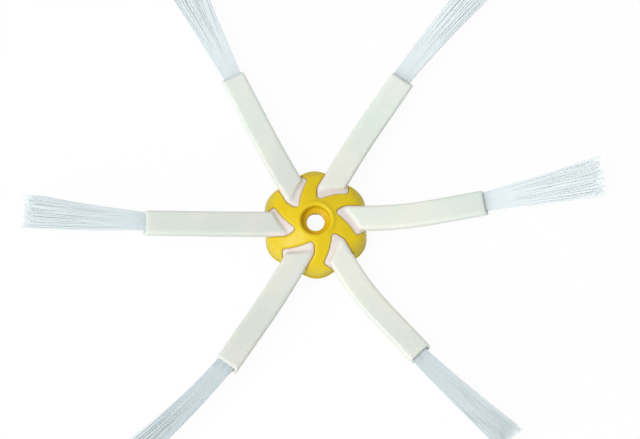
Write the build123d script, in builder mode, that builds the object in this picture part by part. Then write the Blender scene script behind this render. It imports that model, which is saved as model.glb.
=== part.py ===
import os
from math import cos, radians, sin, sqrt, tan

from build123d import *

# Side brush of a robot vacuum: a domed hub that turns about Z, six soft arms whose
# swirled feet are keyed into pockets of the hub, and a tuft of bristles in each arm.
# Origin: on the drive axis, at the underside of the web that the fixing screw clamps.
# Millimetres and degrees. An arm's own frame has X along its spoke, Y counter-clockwise.

# Spokes
arm_count = 6
spoke_step = 360 / arm_count

# Screw seat in the middle of the hub
screw_hole_radius = 2.45
web_thickness = 2.0
recess_radius = 3.9
recess_depth = 3.1
collar_width = 1.3
recess_lip_chamfer = 0.4

# Domed cap: a rounded hexagon in plan, with a flat under each arm and a lobe between arms
flat_radius = 13.8
lobe_round = 6.4
lobe_angle = 32
wall_draft = 8
crown_round = 4.6
crown_clearance = 0.1
dome_radius = 36.0
skirt_depth = 7.8
skirt_wall = 1.4
rim_chamfer = 0.3

# Stem and its square drive socket, under the cap
socket_width = 7.6
socket_depth = 7.2
socket_corner = 0.8
stem_wall = 2.0
stem_corner = 2.2
stem_end_chamfer = 0.5
rib_thickness = 1.2
rib_rise = 0.6
rib_angle = 39

# Swirled pocket for an arm's foot
pocket_land = 0.3
pocket_tip_angle = 23.0
pocket_tip_cut = 0.8
pocket_flank = 3.2
pocket_flank_bulge = 0.3
pocket_swirl_bulge = 0.55
shoulder_inset = 2.0
shoulder_angle = -20.3
shoulder_cut = 0.5
ear_inset = 0.4
mouth_gap = 0.25
floor_wall = 1.6
seam = 0.05

# Arm: a flat strap with softened edges on a lower foot
arm_width = 6.5
arm_thickness = 3.0
arm_offset = 0.85
arm_sink = 0.8
arm_flex = 17.8
arm_sleeve = 14.2
arm_edge_chamfer = 0.4
arm_under_chamfer = 0.3
arm_end_lip = 1.0
foot_sink = 0.35
step_flank = 1.85
step_shoulder = 0.6
step_bulge = 0.35

# Square stud under the foot, moulded through the pocket's floor
stud_width = 2.4
stud_head_width = 3.2
stud_head_height = 0.9
stud_angle = 9

# Set that each soft arm has taken along its flexing stretch, and how far its tuft leans on
arm_bend = [10.4, -4.0, -3.0, -0.9, -4.4, 13.2]
tuft_lean = [2.6, -7.5, 0.7, -4.7, -13.5, 4.8]

# Tuft of bristles, fused into a flat root that fills the arm's slot
slot_width = 5.1
slot_height = 1.7
slot_depth = 9.0
bristle_columns = 8
bristle_rows = 3
bristle_width = 0.4
bristle_margin = 0.2
tuft_length = 34.0
tuft_end_width = 10.4
tuft_end_height = 2.9
tuft_knee = 0.5
knee_lean = 0.6
ragged_step = 0.55
ragged_cycle = 5

# Heights along the drive axis
hub_top = web_thickness + recess_depth
rim_bottom = hub_top - skirt_depth
arm_top = hub_top - arm_sink
arm_bottom = arm_top - arm_thickness
floor_bottom = arm_bottom - floor_wall
slot_middle = arm_bottom + arm_thickness / 2

# Radii and places that follow from the sizes above
collar_radius = recess_radius + collar_width
lobe_reach = (flat_radius - lobe_round) / cos(radians(spoke_step / 2)) + lobe_round + crown_clearance
crown_inset = skirt_depth * tan(radians(wall_draft))
cavity_radius = (lobe_reach - crown_clearance - skirt_wall) * cos(radians(spoke_step / 2))
cavity_top_radius = cavity_radius - (floor_bottom - rim_bottom) * tan(radians(wall_draft))
stem_width = socket_width + 2 * stem_wall
stem_reach = (stem_width - stem_corner) / sqrt(2)
stud_reach = (stem_reach + cavity_top_radius) / 2
rib_start = socket_width / 2 + stem_wall / 2
rib_length = cavity_radius + skirt_wall / 2 - rib_start
rib_reach = rib_start + rib_length / 2
step_cut = pocket_flank - step_flank
arm_ccw = arm_offset + arm_width / 2
arm_cw = arm_offset - arm_width / 2


def polar(radius, angle):
    return Vector(radius * cos(radians(angle)), radius * sin(radians(angle)))


def spoke_plane(index, height):
    return Plane.XY.offset(height).rotated((0, 0, spoke_step * index))


pocket_tip = polar(collar_radius + pocket_land, pocket_tip_angle)
shoulder = polar(flat_radius - shoulder_inset, shoulder_angle)
flank_start = Vector(pocket_tip.X + pocket_flank, arm_ccw + mouth_gap)
mouth_ccw = Vector(flat_radius, arm_ccw + mouth_gap)
mouth_cw = Vector(flat_radius, arm_cw - mouth_gap)
ear_end = Vector(flat_radius - ear_inset, arm_cw - mouth_gap)


# Pocket outline in the arm's frame: a blunt inner end, a flank that bows outward, a swirled
# edge that bows into the pocket, and an ear that narrows the mouth behind the shoulder
def pocket_outline():
    with BuildSketch() as outline:
        with BuildLine():
            SagittaArc(flank_start, pocket_tip, -pocket_flank_bulge)
            SagittaArc(pocket_tip, shoulder, pocket_swirl_bulge)
            Polyline(shoulder, ear_end, mouth_cw, mouth_ccw, flank_start)
        make_face()
        chamfer(outline.vertices().sort_by_distance(pocket_tip)[0], pocket_tip_cut)
        chamfer(outline.vertices().sort_by_distance(shoulder)[0], shoulder_cut)
    return outline.sketch


# Cap: the drafted hexagon with rounded lobes, inside a dome that is turned about Z and
# rolls over a soft crown into the lobes' walls
with BuildPart() as cap:
    with BuildSketch(Plane.XY.offset(rim_bottom)):
        RegularPolygon(flat_radius, arm_count, major_radius=False, rotation=lobe_angle)
    extrude(amount=skirt_depth, taper=wall_draft)
    fillet(cap.faces().filter_by(Axis.Z, reverse=True).edges().filter_by(Plane.XY, reverse=True), lobe_round)
    with BuildSketch(Plane.XZ) as dome:
        with Locations((0, hub_top - dome_radius)):
            Circle(dome_radius)
        with BuildLine():
            Polyline(
                (0, rim_bottom),
                (lobe_reach, rim_bottom),
                (lobe_reach - crown_inset, hub_top),
                (0, hub_top),
                close=True,
            )
        make_face(mode=Mode.INTERSECT)
        fillet(dome.vertices().sort_by_distance((lobe_reach - crown_inset, hub_top))[0], crown_round)
    revolve(axis=Axis.Z, mode=Mode.INTERSECT)

# Hub: the cap on a hollow skirt, with the stem and its ribs below
with BuildPart() as hub:
    add(cap.part)
    chamfer(hub.edges().group_by(Axis.Z)[0], rim_chamfer)
    with BuildSketch(Plane.XY.offset(arm_bottom)):
        Circle(collar_radius)
    extrude(amount=hub_top - arm_bottom)

    with BuildSketch(Plane.XY.offset(rim_bottom)):
        RegularPolygon(cavity_radius, arm_count, major_radius=False, rotation=lobe_angle)
    extrude(amount=floor_bottom - rim_bottom, taper=wall_draft, mode=Mode.SUBTRACT)

    with BuildSketch(Plane.XY.offset(-socket_depth)) as stem_outline:
        Rectangle(stem_width, stem_width)
        chamfer(stem_outline.vertices(), stem_corner)
    extrude(amount=socket_depth + floor_bottom)
    with BuildSketch(Plane.XY.offset(rim_bottom + rib_rise)):
        with PolarLocations(rib_reach, arm_count, rib_angle):
            Rectangle(rib_length, rib_thickness)
    extrude(amount=floor_bottom - rim_bottom - rib_rise)

    with BuildSketch(Plane.XY.offset(-socket_depth)) as socket_outline:
        Rectangle(socket_width, socket_width)
        chamfer(socket_outline.vertices(), socket_corner)
    extrude(amount=socket_depth, mode=Mode.SUBTRACT)
    chamfer(hub.edges().group_by(Axis.Z)[0], stem_end_chamfer)
    with BuildSketch(Plane.XY):
        Circle(screw_hole_radius)
    extrude(amount=hub_top, mode=Mode.SUBTRACT)
    with BuildSketch(Plane.XY.offset(web_thickness)):
        Circle(recess_radius)
    extrude(amount=recess_depth, mode=Mode.SUBTRACT)

    with BuildSketch(Plane.XY.offset(arm_bottom)):
        with PolarLocations(0, arm_count):
            add(pocket_outline())
    extrude(amount=hub_top - arm_bottom, mode=Mode.SUBTRACT)
    with BuildSketch(Plane.XY.offset(floor_bottom)):
        with PolarLocations(stud_reach, arm_count, stud_angle):
            Rectangle(stud_width + 2 * seam, stud_width + 2 * seam)
    extrude(amount=floor_wall, mode=Mode.SUBTRACT)

    chamfer(hub.edges().group_by(Axis.Z)[-1].sort_by(SortBy.RADIUS)[0], recess_lip_chamfer)
hub.part.label = "hub"


# Plane across an arm's tip: X counter-clockwise, Y up, Z out along the tip's heading
def tip_plane(index):
    bend = radians(arm_bend[index])
    flex_radius = arm_flex / bend
    flex_end = Vector(flat_radius + flex_radius * sin(bend), arm_offset + flex_radius * (1 - cos(bend)))
    tip = flex_end + polar(arm_sleeve, arm_bend[index])
    heading = spoke_step * index + arm_bend[index]
    return Plane(
        origin=spoke_plane(index, 0).from_local_coords(tip),
        x_dir=polar(1, heading + 90),
        z_dir=polar(1, heading),
    )


# Foot: fills the pocket to just under the dome
def make_foot(index):
    with BuildPart() as foot:
        with BuildSketch(spoke_plane(index, arm_bottom)):
            add(pocket_outline())
            offset(amount=-seam)
        extrude(amount=hub_top - arm_bottom)
        with Locations((0, 0, -foot_sink)):
            add(cap.part, mode=Mode.INTERSECT)
    return foot.part


# Arm: the strap bends past the hub's rim and holds the tuft in a straight sleeve, and a
# stud under the foot passes through the pocket's floor
def make_arm(index):
    bend = arm_bend[index]
    flex_radius = arm_flex / radians(bend)
    sleeve_run = polar(arm_sleeve + arm_end_lip, bend)
    spoke_out = Vector(1, 0)
    root_ccw = Vector(flat_radius, arm_ccw)
    root_cw = Vector(flat_radius, arm_cw)
    step_ccw = Vector(pocket_tip.X + step_flank, arm_ccw)
    step_cw = Vector(shoulder.X + step_shoulder, arm_cw)

    with BuildPart() as arm:
        with BuildSketch(spoke_plane(index, arm_bottom)) as strap:
            with BuildLine():
                flex_cw = JernArc(root_cw, spoke_out, abs(flex_radius + arm_width / 2), bend)
                flex_ccw = JernArc(root_ccw, spoke_out, abs(flex_radius - arm_width / 2), bend)
                end_cw = flex_cw @ 1 + sleeve_run
                end_ccw = flex_ccw @ 1 + sleeve_run
                Polyline(flex_cw @ 1, end_cw, end_ccw, flex_ccw @ 1)
                Line(root_ccw, step_ccw)
                SagittaArc(step_ccw, step_cw, step_bulge)
                Line(step_cw, root_cw)
            make_face()
            chamfer(strap.vertices().sort_by_distance(step_ccw)[0], step_cut)
        extrude(amount=arm_thickness)

        tip = tip_plane(index)
        with BuildSketch(Plane(origin=tip.origin, x_dir=tip.z_dir, z_dir=-tip.x_dir)):
            with BuildLine():
                Polyline((0, arm_top), (arm_end_lip, arm_bottom), (arm_end_lip, arm_top), close=True)
            make_face()
        extrude(amount=arm_width, both=True, mode=Mode.SUBTRACT)
        chamfer(arm.edges().group_by(Axis.Z)[-1], arm_edge_chamfer)
        under_edges = arm.edges().group_by(Axis.Z)[0]
        chamfer(under_edges.filter_by(lambda edge: edge.length > arm_sleeve), arm_under_chamfer)

        with BuildSketch(tip.offset(arm_end_lip)):
            with Locations((0, slot_middle)):
                Rectangle(slot_width, slot_height)
        extrude(amount=-arm_end_lip - slot_depth, mode=Mode.SUBTRACT)
        add(make_foot(index))
        with BuildSketch(spoke_plane(index, floor_bottom)):
            with PolarLocations(stud_reach, 1, stud_angle):
                Rectangle(stud_width, stud_width)
        extrude(amount=floor_wall)
        with BuildSketch(spoke_plane(index, floor_bottom - stud_head_height)):
            with PolarLocations(stud_reach, 1, stud_angle):
                Rectangle(stud_head_width, stud_head_width)
        extrude(amount=stud_head_height)
    return arm.part


# Tuft: bristles in staggered rows fan out of the root, with a knee halfway and ragged ends
def make_tuft(index):
    tip = tip_plane(index)
    root_width = slot_width - 2 * seam
    root_height = slot_height - 2 * seam
    spread = root_width - 2 * bristle_margin - bristle_width
    lift = root_height - 2 * bristle_margin - bristle_width
    knee_at = tuft_length * tuft_knee
    knee_shift = knee_at * tan(radians(tuft_lean[index] * knee_lean))
    lean_slope = tan(radians(tuft_lean[index]))
    bristles = []

    with BuildPart() as tuft:
        with BuildSketch(tip.offset(seam - slot_depth)):
            with Locations((0, slot_middle)):
                Rectangle(root_width, root_height)
        extrude(amount=slot_depth - seam)

        for row in range(bristle_rows):
            columns = bristle_columns - row % 2
            rise = row / (bristle_rows - 1) - 0.5
            for column in range(columns):
                reach = (column - (columns - 1) / 2) / (bristle_columns - 1)
                end_at = tuft_length - ragged_step * ((2 * column + 3 * row) % ragged_cycle)
                share = end_at / tuft_length
                root = Vector(reach * spread, slot_middle + rise * lift)
                flare = Vector(reach * (tuft_end_width - spread), rise * (tuft_end_height - lift))
                knee = root + flare * tuft_knee + Vector(knee_shift, 0)
                end = root + flare * share + Vector(knee_shift + lean_slope * (end_at - knee_at), 0)
                for near, far, start_at, stop_at in ((root, knee, 0, knee_at), (knee, end, knee_at, end_at)):
                    base = tip.offset(start_at)
                    run = base.from_local_coords(far + Vector(0, 0, stop_at - start_at))
                    run -= base.from_local_coords(near)
                    with BuildSketch(base):
                        with Locations(near):
                            Rectangle(bristle_width, bristle_width)
                    bristles.append(extrude(amount=run.length, dir=run, mode=Mode.PRIVATE))
        add(bristles)
    return tuft.part


os.makedirs("parts", exist_ok=True)
export_step(hub.part, "parts/hub.step")
for index in range(arm_count):
    arm = make_arm(index)
    arm.label = f"arm_{index + 1}"
    export_step(arm, f"parts/{arm.label}.step")
    tuft = make_tuft(index)
    tuft.label = f"bristle_tuft_{index + 1}"
    export_step(tuft, f"parts/{tuft.label}.step")
    print(arm.label, arm.is_valid, round(arm.volume, 1), tuft.is_valid, round(tuft.volume, 1))
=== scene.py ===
import math
import random

import bpy
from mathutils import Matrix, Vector


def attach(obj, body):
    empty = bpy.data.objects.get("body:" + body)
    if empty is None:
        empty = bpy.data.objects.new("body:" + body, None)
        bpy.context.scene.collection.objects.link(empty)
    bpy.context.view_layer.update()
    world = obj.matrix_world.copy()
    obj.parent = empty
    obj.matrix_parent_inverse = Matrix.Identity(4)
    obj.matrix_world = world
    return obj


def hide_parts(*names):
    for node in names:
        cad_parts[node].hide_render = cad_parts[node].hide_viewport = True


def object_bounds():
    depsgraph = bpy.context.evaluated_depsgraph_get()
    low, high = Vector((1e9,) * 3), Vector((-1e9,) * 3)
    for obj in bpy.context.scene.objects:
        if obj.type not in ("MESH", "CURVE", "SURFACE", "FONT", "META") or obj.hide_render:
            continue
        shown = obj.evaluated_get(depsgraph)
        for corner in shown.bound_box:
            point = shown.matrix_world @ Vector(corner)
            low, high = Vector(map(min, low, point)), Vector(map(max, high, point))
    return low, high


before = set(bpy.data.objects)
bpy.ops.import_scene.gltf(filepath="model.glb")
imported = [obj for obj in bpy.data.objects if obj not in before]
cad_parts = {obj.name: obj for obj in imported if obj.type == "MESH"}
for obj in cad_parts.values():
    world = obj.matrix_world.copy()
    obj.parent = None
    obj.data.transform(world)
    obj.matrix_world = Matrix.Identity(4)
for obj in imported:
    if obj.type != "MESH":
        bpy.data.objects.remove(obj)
cadLow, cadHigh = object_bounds()
print("frame loaded,", len(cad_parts), "nodes")

scene = bpy.context.scene
scene.view_settings.view_transform = "Standard"
mm = 0.001
armCount = 6
spokeStep = 360.0 / armCount
white = (1.0, 1.0, 1.0, 1.0)


def clampShare(value):
    return max(0.0, min(1.0, value))


# helpers shared by the materials
def setSockets(node, values):
    for socket, value in values.items():
        node.inputs[socket].default_value = value


def newMaterial(name):
    material = bpy.data.materials.new(name)
    material.use_nodes = True
    tree = material.node_tree
    return material, tree, tree.nodes["Principled BSDF"]


def addNode(tree, kind, values=None, **settings):
    node = tree.nodes.new(kind)
    for key, value in settings.items():
        setattr(node, key, value)
    setSockets(node, values or {})
    return node


def addAttribute(tree, name):
    return addNode(tree, "ShaderNodeAttribute", attribute_name=name).outputs["Fac"]


# where a Mix node keeps its sockets for colours
mixFactor = 0
mixFirst = 6
mixSecond = 7
mixResult = 2


# factor and first can each be a socket to link or a constant
def addMix(tree, factor, first, second, blend="MIX"):
    mix = addNode(tree, "ShaderNodeMix", {mixSecond: second}, data_type="RGBA", blend_type=blend)
    for socket, value in ((mixFactor, factor), (mixFirst, first)):
        if isinstance(value, bpy.types.NodeSocket):
            tree.links.new(value, mix.inputs[socket])
        else:
            mix.inputs[socket].default_value = value
    return mix.outputs[mixResult]


# a share that goes softly from 0 at low to 1 at high
def addSpan(tree, source, low, high):
    span = addNode(tree, "ShaderNodeMapRange", {"From Min": low, "From Max": high},
                   interpolation_type="SMOOTHSTEP")
    tree.links.new(source, span.inputs["Value"])
    return span.outputs["Result"]


# moulded skin: slow cloudy tone from the melt's flow, fine orange peel, and small handling marks
skinLook = {
    "cloud": {"Detail": 3.0, "Roughness": 0.5, "Distortion": 0.6},
    "peel": {"Detail": 2.0, "Roughness": 0.45},
    "smear": {"Detail": 5.0, "Roughness": 0.65, "Distortion": 1.2},
    "smearRatio": 2.7,
    "smearSpan": {"From Min": 0.3, "From Max": 0.7},
}


def buildMouldedSkin(look):
    group = bpy.data.node_groups.new("mouldedSkin", "ShaderNodeTree")
    group.interface.new_socket("Place", in_out="INPUT", socket_type="NodeSocketVector")
    for name in ("Cloud Size", "Peel Size", "Rough Low", "Rough High"):
        group.interface.new_socket(name, in_out="INPUT", socket_type="NodeSocketFloat")
    for name in ("Cloud", "Roughness", "Height"):
        group.interface.new_socket(name, in_out="OUTPUT", socket_type="NodeSocketFloat")
    entry = addNode(group, "NodeGroupInput")
    leave = addNode(group, "NodeGroupOutput")
    cloud = addNode(group, "ShaderNodeTexNoise", look["cloud"])
    peel = addNode(group, "ShaderNodeTexNoise", look["peel"])
    smear = addNode(group, "ShaderNodeTexNoise", look["smear"])
    smearSize = addNode(group, "ShaderNodeMath", {1: look["smearRatio"]}, operation="MULTIPLY")
    spread = addNode(group, "ShaderNodeMapRange", look["smearSpan"])
    link = group.links.new
    for noise in (cloud, peel, smear):
        link(entry.outputs["Place"], noise.inputs["Vector"])
    link(entry.outputs["Cloud Size"], cloud.inputs["Scale"])
    link(entry.outputs["Peel Size"], peel.inputs["Scale"])
    link(entry.outputs["Cloud Size"], smearSize.inputs[0])
    link(smearSize.outputs[0], smear.inputs["Scale"])
    link(smear.outputs["Fac"], spread.inputs["Value"])
    link(entry.outputs["Rough Low"], spread.inputs["To Min"])
    link(entry.outputs["Rough High"], spread.inputs["To Max"])
    link(cloud.outputs["Fac"], leave.inputs["Cloud"])
    link(spread.outputs["Result"], leave.inputs["Roughness"])
    link(peel.outputs["Fac"], leave.inputs["Height"])
    return group


mouldedSkin = buildMouldedSkin(skinLook)


# gives the shader the skin's roughness and peel, and returns its place and cloud for the tones
def addSkin(tree, shader, look):
    place = addNode(tree, "ShaderNodeTexCoord")
    skin = addNode(tree, "ShaderNodeGroup", node_tree=mouldedSkin)
    setSockets(skin, look["skin"])
    bump = addNode(tree, "ShaderNodeBump", look["peelBump"])
    tree.links.new(place.outputs["Object"], skin.inputs["Place"])
    tree.links.new(skin.outputs["Roughness"], shader.inputs["Roughness"])
    tree.links.new(skin.outputs["Height"], bump.inputs["Height"])
    tree.links.new(bump.outputs["Normal"], shader.inputs["Normal"])
    return place.outputs["Object"], skin.outputs["Cloud"]


# distance from the drive axis, for the painted shade at the hub's rim and in its bore
def addAxisDistance(tree, place):
    flat = addNode(tree, "ShaderNodeVectorMath", {1: (1.0, 1.0, 0.0)}, operation="MULTIPLY")
    length = addNode(tree, "ShaderNodeVectorMath", operation="LENGTH")
    tree.links.new(place, flat.inputs[0])
    tree.links.new(flat.outputs["Vector"], length.inputs[0])
    return length.outputs["Value"]


hubLook = {
    "yellow": (0.735, 0.548, 0.012, 1.0),
    "yellowDeep": (0.635, 0.458, 0.006, 1.0),
    "rimShadeOlive": (0.625, 0.475, 0.034, 1.0),
    "boreShadeAmber": (0.705, 0.455, 0.001, 1.0),
    "skirtShadeOlive": (0.57, 0.425, 0.010, 1.0),
    "skin": {"Cloud Size": 190.0, "Peel Size": 900.0, "Rough Low": 0.22, "Rough High": 0.34},
    "peelBump": {"Strength": 0.12, "Distance": 0.00012},
    "boreInner": 3.2 * mm, "boreOuter": 4.3 * mm,
    "rimStart": 11.0 * mm, "rimEnd": 14.5 * mm,
    "skirtTop": 1.6 * mm, "skirtLow": -1.2 * mm,
    "shineTop": 0.17, "shineSkirt": 0.0,
    "surface": {
        "Coat Weight": 0.03, "Coat Roughness": 0.1,
        "Subsurface Weight": 0.12, "Subsurface Radius": (1.0, 0.6, 0.1), "Subsurface Scale": 0.8 * mm,
    },
}


def makeHubYellow(look):
    material, tree, shader = newMaterial("hubYellow")
    place, cloud = addSkin(tree, shader, look)
    tone = addMix(tree, cloud, look["yellow"], look["yellowDeep"])
    distance = addAxisDistance(tree, place)
    # painted shade: toward the rim, where the dome rolls away from the lamps, the yellow is mixed toward a
    # darker olive
    rimShade = addSpan(tree, distance, look["rimStart"], look["rimEnd"])
    tone = addMix(tree, rimShade, tone, look["rimShadeOlive"])
    # painted shade: the hub's lower walls are mixed toward a darker olive, and the same share lowers their
    # shine
    height = addNode(tree, "ShaderNodeSeparateXYZ")
    tree.links.new(place, height.inputs[0])
    skirtShadeAndShine = addSpan(tree, height.outputs["Z"], look["skirtTop"], look["skirtLow"])
    tone = addMix(tree, skirtShadeAndShine, tone, look["skirtShadeOlive"])
    shine = addNode(tree, "ShaderNodeMapRange", {"To Min": look["shineTop"], "To Max": look["shineSkirt"]})
    tree.links.new(skirtShadeAndShine, shine.inputs["Value"])
    tree.links.new(shine.outputs["Result"], shader.inputs["Specular IOR Level"])
    # painted shade: the bore's wall is mixed toward a deeper amber, standing in for shade and yellow
    # interreflection inside the recess
    boreShade = addSpan(tree, distance, look["boreOuter"], look["boreInner"])
    tree.links.new(addMix(tree, boreShade, tone, look["boreShadeAmber"]), shader.inputs["Base Color"])
    setSockets(shader, look["surface"])
    return material


armLook = {
    "cool": (0.712, 0.753, 0.686, 1.0),
    "warm": (0.78, 0.778, 0.706, 1.0),
    "rosyShade": (0.705, 0.645, 0.60, 1.0),
    "paintedShade": (0.82, 0.82, 0.83, 1.0),
    "tipCool": (0.925, 0.985, 1.0, 1.0),
    "skin": {"Cloud Size": 60.0, "Peel Size": 1500.0, "Rough Low": 0.42, "Rough High": 0.56},
    "peelBump": {"Strength": 0.10, "Distance": 0.0001},
    "cloudLow": 0.35, "cloudHigh": 0.68,
    "surface": {
        "Subsurface Weight": 0.6, "Subsurface Radius": (1.0, 1.0, 0.8), "Subsurface Scale": 1.6 * mm,
        "Sheen Weight": 0.05, "IOR": 1.45,
    },
}


def makeArmWhite(look):
    material, tree, shader = newMaterial("armWhite")
    _, cloud = addSkin(tree, shader, look)
    warmth = addSpan(tree, cloud, look["cloudLow"], look["cloudHigh"])
    tone = addMix(tree, warmth, look["cool"], look["warm"])
    tone = addMix(tree, addAttribute(tree, "armCool"), tone, look["tipCool"], "MULTIPLY")
    # painted shade: each arm is darkened by its own share, more on the left arms and near the hub
    tone = addMix(tree, addAttribute(tree, "armPaintedShade"), tone, look["paintedShade"], "MULTIPLY")
    # painted shade: the foot and the strap's low sides in the hub's pocket are mixed toward a darker rosy
    # tone
    tone = addMix(tree, addAttribute(tree, "footShade"), tone, look["rosyShade"])
    tree.links.new(tone, shader.inputs["Base Color"])
    setSockets(shader, look["surface"])
    return material


bristleLook = {
    "clear": (0.935, 0.985, 1.0, 1.0),
    "smoky": (0.52, 0.59, 0.612, 1.0),
    "streak": {"Scale": 220.0, "Detail": 2.0},
    "rough": {"From Min": 0.3, "From Max": 0.7, "To Min": 0.4, "To Max": 0.6},
    "surface": {"IOR": 1.53, "Specular IOR Level": 0.15},
}


def makeBristleClear(look):
    material, tree, shader = newMaterial("bristleClear")
    tone = addMix(tree, addAttribute(tree, "strandToneAndShade"), look["clear"], look["smoky"])
    tree.links.new(tone, shader.inputs["Base Color"])
    place = addNode(tree, "ShaderNodeTexCoord")
    streak = addNode(tree, "ShaderNodeTexNoise", look["streak"])
    rough = addNode(tree, "ShaderNodeMapRange", look["rough"])
    tree.links.new(place.outputs["Object"], streak.inputs["Vector"])
    tree.links.new(streak.outputs["Fac"], rough.inputs["Value"])
    tree.links.new(rough.outputs["Result"], shader.inputs["Roughness"])
    setSockets(shader, look["surface"])
    return material


hubYellow = makeHubYellow(hubLook)
armWhite = makeArmWhite(armLook)
bristleClear = makeBristleClear(bristleLook)
print("materials made")


# helpers shared by the pieces
def selectOnly(piece):
    bpy.ops.object.select_all(action="DESELECT")
    piece.select_set(True)
    bpy.context.view_layer.objects.active = piece


def applyModifier(piece, kind, **settings):
    selectOnly(piece)
    bpy.ops.object.modifier_add(type=kind)
    modifier = piece.modifiers[-1]
    for key, value in settings.items():
        setattr(modifier, key, value)
    bpy.ops.object.modifier_apply(modifier=modifier.name)


def finishPiece(piece, material, node):
    piece.data.materials.clear()
    piece.data.materials.append(material)
    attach(piece, "root")
    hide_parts(node)


# a moulding: the node's mesh merged, rebuilt as an even skin, and eased so that its edges are soft
def makeMoulding(name, node, shape):
    piece = bpy.data.objects.new(name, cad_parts[node].data.copy())
    scene.collection.objects.link(piece)
    selectOnly(piece)
    bpy.ops.object.mode_set(mode="EDIT")
    bpy.ops.mesh.select_all(action="SELECT")
    bpy.ops.mesh.remove_doubles(threshold=shape["mergeGap"])
    bpy.ops.object.mode_set(mode="OBJECT")
    applyModifier(piece, "REMESH", mode="VOXEL", voxel_size=shape["skinStep"])
    applyModifier(piece, "SMOOTH", factor=shape["easeFactor"], iterations=shape["easePasses"])
    bpy.ops.object.shade_smooth()
    return piece


# swells the eased skin a little, so that soft foot and hub meet without an open groove
def swellSkin(piece, amount):
    applyModifier(piece, "DISPLACE", strength=amount, mid_level=0.0)


hubShape = {
    "mergeGap": 0.002 * mm, "skinStep": 0.19 * mm, "swell": 0.008 * mm,
    "easeFactor": 0.5, "easePasses": 16,
}

hub = makeMoulding("hubCap", "hub", hubShape)
swellSkin(hub, hubShape["swell"])
finishPiece(hub, hubYellow, "hub")
print("hub made,", len(hub.data.polygons), "faces")


# places and reaches from stepStart on are in mm in an arm's own frame, with x along its spoke;
# rows of six give each arm's painted shade near the hub, and its painted shade and coolness near its tip
armShape = {
    "mergeGap": 0.002 * mm, "skinStep": 0.2 * mm, "swell": 0.08 * mm,
    "easeFactor": 0.5, "easePasses": 20, "easeMore": 60,
    "stepStart": (6.91, 4.1), "stepEnd": (11.67, -2.4),
    "stepReach": 1.5, "stepHold": 0.5, "toneBlend": 0.7,
    "strapTop": 4.3, "edgeDrop": 0.45, "pocketEnd": 13.6, "pocketBlend": 1.2,
    "flankPlace": 3.6, "flankReach": 1.4, "flankShadeFrom": 3.2, "flankBlend": 0.5,
    "innerAt": 14.0, "outerAt": 38.0,
    "shadeInner": (0.16, 0.55, 0.80, 0.95, 0.68, 0.42),
    "shadeOuter": (0.20, 0.0, 0.25, 0.85, 0.98, 0.62),
    "coolOuter": (1.0, 0.7, 0.55, 0.75, 0.0, 0.1),
}


# a corner's place along and across the arm's spoke, and how far it is on the hub's side of the step
def stepPlace(corner, count, shape):
    spoke = math.radians(-spokeStep * count)
    start = Vector(shape["stepStart"])
    along = (Vector(shape["stepEnd"]) - start).normalized()
    x = (corner.co.x * math.cos(spoke) - corner.co.y * math.sin(spoke)) / mm
    y = (corner.co.x * math.sin(spoke) + corner.co.y * math.cos(spoke)) / mm
    return x, y, along.y * (x - start.x) - along.x * (y - start.y)


# 1 inside the hub's pocket, 0 outside it
def pocketShare(x, shape):
    return clampShare((shape["pocketEnd"] - x) / shape["pocketBlend"])


# rounds the step between strap and foot, and the strap's flank in the pocket, more than other edges
def softenStep(arm, count, shape):
    group = arm.vertex_groups.new(name="step")
    for corner in arm.data.vertices:
        x, y, inside = stepPlace(corner, count, shape)
        flank = 1.0 - abs(y - shape["flankPlace"]) / shape["flankReach"]
        step = shape["stepHold"] * (1.0 - abs(inside) / shape["stepReach"])
        weight = max(step, flank * pocketShare(x, shape))
        if weight > 0.0:
            group.add([corner.index], weight, "REPLACE")
    applyModifier(arm, "SMOOTH", factor=shape["easeFactor"], iterations=shape["easeMore"],
                  vertex_group=group.name)
    arm.vertex_groups.clear()


# marks the foot and the strap's low sides in the hub's pocket for painted shade, and how much painted
# shade and coolness the arm gets
def markTones(arm, count, shape):
    tones = []
    shades = []
    cools = []
    inner = shape["shadeInner"][count]
    outer = shape["shadeOuter"][count]
    for corner in arm.data.vertices:
        x, y, inside = stepPlace(corner, count, shape)
        below = (shape["strapTop"] - corner.co.z / mm) / shape["edgeDrop"]
        flank = (y - shape["flankShadeFrom"]) / shape["flankBlend"]
        edge = max(below, flank) * pocketShare(x, shape)
        tones.append(clampShare(max(0.5 + inside / shape["toneBlend"], edge)))
        outward = clampShare((x - shape["innerAt"]) / (shape["outerAt"] - shape["innerAt"]))
        shades.append(inner + (outer - inner) * outward)
        cools.append(shape["coolOuter"][count] * outward * outward)
    for name, values in (("footShade", tones), ("armPaintedShade", shades), ("armCool", cools)):
        layer = arm.data.attributes.new(name, "FLOAT", "POINT")
        layer.data.foreach_set("value", values)


for count in range(armCount):
    node = f"arm_{count + 1}"
    arm = makeMoulding(f"softArm{count + 1}", node, armShape)
    softenStep(arm, count, armShape)
    swellSkin(arm, armShape["swell"])
    markTones(arm, count, armShape)
    finishPiece(arm, armWhite, node)
print("arms made,", len(arm.data.polygons), "faces each")


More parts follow.
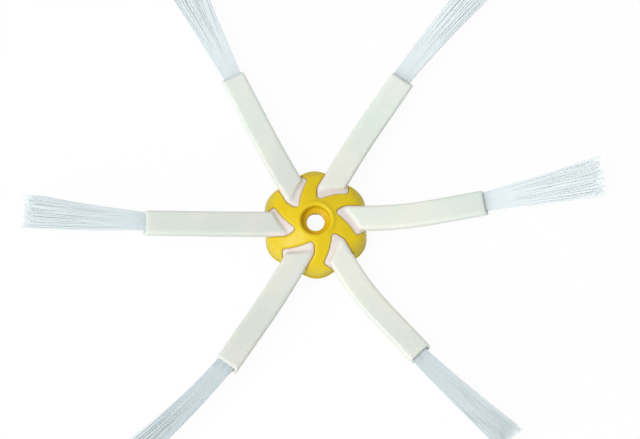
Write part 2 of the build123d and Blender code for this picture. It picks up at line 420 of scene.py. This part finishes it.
# millimetres and degrees; rows of six give each arm's bend and its tuft's lean, spread, shift and haze,
# which is the bristles' smoky tone with each tuft's painted shade
tuftShape = {
    "flatRadius": 13.8, "armOffset": 0.85, "armFlex": 17.8, "armSleeve": 14.2,
    "armBend": (10.4, -4.0, -3.0, -0.9, -4.4, 13.2),
    "lean": (2.6, -7.5, 0.7, -4.7, -13.5, 4.8), "kneeLean": 0.6,
    "endWidth": (11.2, 7.8, 10.2, 9.8, 6.6, 7.9),
    "shift": (0.5, 0.5, -0.2, -0.65, -0.5, -0.45), "shiftRun": 0.8,
    "middle": 2.5, "rootWidth": 4.7, "rootHeight": 0.95, "endHeight": 1.6, "highMost": 1.35,
    "length": 34.0, "shortest": 29.5, "inside": 3.0,
    "strandRadius": 0.085, "strandFlat": 0.55, "strandSides": 5, "strandCuts": 8, "ringCrowd": 1.5,
    "columns": 56, "rows": 6, "jitter": 0.3,
    "wander": 0.22, "liftShare": 0.3,
    "waveMost": 0.12, "waveRun": 5.0, "phaseMost": 6.28,
    "hazeAndShade": (0.29, 0.375, 0.46, 0.63, 0.95, 0.69), "hazeSpread": 0.03,
    "deepPaintedLight": 0.46, "tipPaintedLight": 0.33, "darkShare": 0.01, "darkTone": 0.3,
    "smoothAngle": 75.0,
    "seed": 41,
}


# one straight strand of unit length, with enough rings to bend
def makeStrand(shape):
    half = 0.5
    bpy.ops.object.select_all(action="DESELECT")
    bpy.ops.mesh.primitive_cylinder_add(vertices=shape["strandSides"], radius=shape["strandRadius"],
                                        depth=2.0 * half, location=(0.0, 0.0, half))
    strand = bpy.context.object
    bpy.ops.object.transform_apply(location=True, rotation=True, scale=True)
    bpy.ops.object.mode_set(mode="EDIT")
    bpy.ops.mesh.select_mode(type="EDGE")
    bpy.ops.mesh.select_all(action="DESELECT")
    bpy.ops.object.mode_set(mode="OBJECT")
    corners = strand.data.vertices
    for edge in strand.data.edges:
        first, second = edge.vertices
        edge.select = abs(corners[first].co.z - corners[second].co.z) > half
    bpy.ops.object.mode_set(mode="EDIT")
    bpy.ops.mesh.subdivide(number_cuts=shape["strandCuts"])
    bpy.ops.object.mode_set(mode="OBJECT")
    return strand


# where an arm ends and which way it points there, and the slope and bow of its tuft: the slope grows
# evenly, and is the knee's a quarter of the way out and the end's at three quarters
def tuftFrame(shape, count):
    bend = math.radians(shape["armBend"][count])
    spoke = math.radians(spokeStep * count)
    flexRadius = shape["armFlex"] / bend
    sleeve = shape["armSleeve"]
    along = shape["flatRadius"] + flexRadius * math.sin(bend) + sleeve * math.cos(bend)
    across = shape["armOffset"] + flexRadius * (1.0 - math.cos(bend)) + sleeve * math.sin(bend)
    tip = Vector((along * math.cos(spoke) - across * math.sin(spoke),
                  along * math.sin(spoke) + across * math.cos(spoke), 0.0))
    outward = Vector((math.cos(spoke + bend), math.sin(spoke + bend), 0.0))
    sideways = Vector((-outward.y, outward.x, 0.0))
    slopeKnee = math.tan(math.radians(shape["lean"][count] * shape["kneeLean"]))
    slopeEnd = math.tan(math.radians(shape["lean"][count]))
    bow = (slopeEnd - slopeKnee) * 2.0 / shape["length"]
    slopeRoot = slopeKnee - bow * shape["length"] / 4.0
    return {"tip": tip, "outward": outward, "sideways": sideways, "slope": slopeRoot, "bow": bow}


# one strand's place in the tuft, its length, strays and tone, which carries painted shade and painted
# light
def drawStrand(shape, count, row, column, dice):
    jitter = shape["jitter"]
    halfColumn = 0.5
    stagger = halfColumn * (row % 2)
    reach = (column + stagger + dice.uniform(-jitter, jitter)) / (shape["columns"] - halfColumn)
    rise = (row + dice.uniform(-jitter, jitter)) / (shape["rows"] - 1)
    plan = {"reach": clampShare(reach) - 0.5, "rise": clampShare(rise) - 0.5}
    plan["end"] = dice.uniform(shape["shortest"], shape["length"])
    plan["stray"] = dice.gauss(0.0, shape["wander"])
    plan["lift"] = dice.gauss(0.0, shape["wander"] * shape["liftShare"])
    plan["wave"] = dice.uniform(-shape["waveMost"], shape["waveMost"])
    plan["phase"] = dice.uniform(0.0, shape["phaseMost"])
    # painted light: strands in lower rows get a paler tone, standing in for light passed down through the
    # clear strands into their shade
    tone = shape["hazeAndShade"][count] + shape["hazeSpread"] * dice.random() + shape["deepPaintedLight"] * plan["rise"]
    if dice.random() < shape["darkShare"]:
        tone += shape["darkTone"]
    plan["tone"] = tone
    return plan


# bends a straight strand's mesh to its plan, and makes its tone paler to the tip, as painted light in the
# shade between the spreading strands
def bendStrand(mesh, shape, count, place, plan):
    upward = Vector((0.0, 0.0, 1.0))
    flareWide = (shape["endWidth"][count] - shape["rootWidth"]) * plan["reach"]
    flareHigh = (shape["endHeight"] - shape["rootHeight"]) * plan["rise"]
    tones = []
    for corner in mesh.vertices:
        run = corner.co.z ** shape["ringCrowd"] * (plan["end"] + shape["inside"]) - shape["inside"]
        free = max(run, 0.0)
        share = free / shape["length"]
        side = plan["reach"] * shape["rootWidth"] + flareWide * share + plan["stray"] * share * share
        side += shape["shift"][count] * min(free / shape["shiftRun"], 1.0)
        side += place["slope"] * free + place["bow"] * free * free / 2.0
        side += plan["wave"] * share * math.sin(plan["phase"] + shape["waveRun"] * share)
        high = plan["rise"] * shape["rootHeight"] + flareHigh * share + plan["lift"] * share * share
        high = max(-shape["highMost"], min(shape["highMost"], high))
        at = place["tip"] + place["outward"] * run + place["sideways"] * (side + corner.co.x)
        at += upward * (shape["middle"] + high + corner.co.y * shape["strandFlat"])
        corner.co = at * mm
        tones.append(max(0.0, plan["tone"] - shape["tipPaintedLight"] * share))
    layer = mesh.attributes.new("strandToneAndShade", "FLOAT", "POINT")
    layer.data.foreach_set("value", tones)


def makeTuft(shape, count, strand, dice):
    place = tuftFrame(shape, count)
    copies = []
    for row in range(shape["rows"]):
        for column in range(shape["columns"]):
            plan = drawStrand(shape, count, row, column, dice)
            mesh = strand.data.copy()
            bendStrand(mesh, shape, count, place, plan)
            copy = bpy.data.objects.new("strandCopy", mesh)
            scene.collection.objects.link(copy)
            copies.append(copy)
    bpy.ops.object.select_all(action="DESELECT")
    for copy in copies:
        copy.select_set(True)
    bpy.context.view_layer.objects.active = copies[0]
    bpy.ops.object.join()
    tuft = bpy.context.object
    tuft.name = f"bristles{count + 1}"
    bpy.ops.object.shade_smooth_by_angle(angle=math.radians(shape["smoothAngle"]))
    return tuft


dice = random.Random(tuftShape["seed"])
strand = makeStrand(tuftShape)
strandFaces = len(strand.data.polygons)
for count in range(armCount):
    tuft = makeTuft(tuftShape, count, strand, dice)
    finishPiece(tuft, bristleClear, f"bristle_tuft_{count + 1}")
bpy.data.objects.remove(strand)
print("tufts made,", len(tuft.data.polygons), "faces each,", strandFaces, "faces a strand")


stageLook = {
    "floorHalf": 2.0, "floorColour": (0.86, 0.86, 0.86, 1.0), "floorRough": 0.9, "floorGlow": 0.94,
    "skyColour": (0.96, 0.98, 1.0, 1.0), "skyLevel": 0.6,
}


# 1 for the rays that show floor and sky as white, 0 for those that light the object
def addRayMask(tree):
    path = addNode(tree, "ShaderNodeLightPath")
    both = addNode(tree, "ShaderNodeMath", operation="MAXIMUM")
    allThree = addNode(tree, "ShaderNodeMath", operation="MAXIMUM")
    tree.links.new(path.outputs["Is Camera Ray"], both.inputs[0])
    tree.links.new(path.outputs["Is Glossy Ray"], both.inputs[1])
    tree.links.new(both.outputs[0], allThree.inputs[0])
    tree.links.new(path.outputs["Is Transmission Ray"], allThree.inputs[1])
    return allThree.outputs[0]


def makeFloor(look):
    bpy.ops.object.select_all(action="DESELECT")
    bpy.ops.mesh.primitive_plane_add(size=2.0 * look["floorHalf"], location=(0.0, 0.0, cadLow.z))
    floor = bpy.context.object
    floor.name = "floor"
    material, tree, shader = newMaterial("floorPale")
    setSockets(shader, {"Base Color": look["floorColour"], "Roughness": look["floorRough"]})
    glow = addNode(tree, "ShaderNodeEmission", {"Color": white, "Strength": 1.0})
    share = addNode(tree, "ShaderNodeMath", {1: look["floorGlow"]}, operation="MULTIPLY")
    mix = addNode(tree, "ShaderNodeMixShader")
    tree.links.new(addRayMask(tree), share.inputs[0])
    tree.links.new(share.outputs[0], mix.inputs[0])
    tree.links.new(shader.outputs[0], mix.inputs[1])
    tree.links.new(glow.outputs[0], mix.inputs[2])
    tree.links.new(mix.outputs[0], tree.nodes["Material Output"].inputs["Surface"])
    floor.data.materials.append(material)


def makeSky(look):
    world = bpy.data.worlds.new("studioWhite")
    scene.world = world
    world.use_nodes = True
    tree = world.node_tree
    shown = tree.nodes["Background"]
    setSockets(shown, {"Color": white})
    lit = addNode(tree, "ShaderNodeBackground", {"Color": look["skyColour"], "Strength": look["skyLevel"]})
    mix = addNode(tree, "ShaderNodeMixShader")
    tree.links.new(addRayMask(tree), mix.inputs[0])
    tree.links.new(lit.outputs[0], mix.inputs[1])
    tree.links.new(shown.outputs[0], mix.inputs[2])
    tree.links.new(mix.outputs[0], tree.nodes["World Output"].inputs["Surface"])


lampLook = {
    "key": {"place": (-0.32, -0.13, 0.84), "size": 0.3, "power": 3.6, "colour": (1.0, 0.98, 0.95)},
    "fill": {"place": (-0.5, -0.5, 0.4), "size": 0.6, "power": 2.9, "colour": (0.97, 0.99, 1.0)},
}


# an area lamp that faces the origin
def addLamp(name, lamp):
    data = bpy.data.lights.new(name, "AREA")
    data.size = lamp["size"]
    data.energy = lamp["power"]
    data.color = lamp["colour"]
    body = bpy.data.objects.new(name, data)
    scene.collection.objects.link(body)
    body.location = lamp["place"]
    body.rotation_euler = (-Vector(lamp["place"])).to_track_quat("-Z", "Y").to_euler()


makeFloor(stageLook)
makeSky(stageLook)
for lampName, lamp in lampLook.items():
    addLamp(lampName, lamp)
print("stage and lamps set")


cameraLook = {
    "tilt": 12.0, "distance": 0.9, "frameWide": 0.1728, "aim": (1.19 * mm, 0.0, 5.1 * mm),
    "sensor": 36.0, "clipStart": 0.01,
}


def makeCamera(look):
    data = bpy.data.cameras.new("photoCamera")
    camera = bpy.data.objects.new("photoCamera", data)
    scene.collection.objects.link(camera)
    tilt = math.radians(look["tilt"])
    data.sensor_width = look["sensor"]
    data.lens = look["sensor"] * look["distance"] / look["frameWide"]
    back = Vector((0.0, -math.sin(tilt), math.cos(tilt)))
    camera.location = Vector(look["aim"]) + look["distance"] * back
    camera.rotation_euler = (tilt, 0.0, 0.0)
    data.clip_start = look["clipStart"]
    scene.camera = camera


makeCamera(cameraLook)
print("camera set")
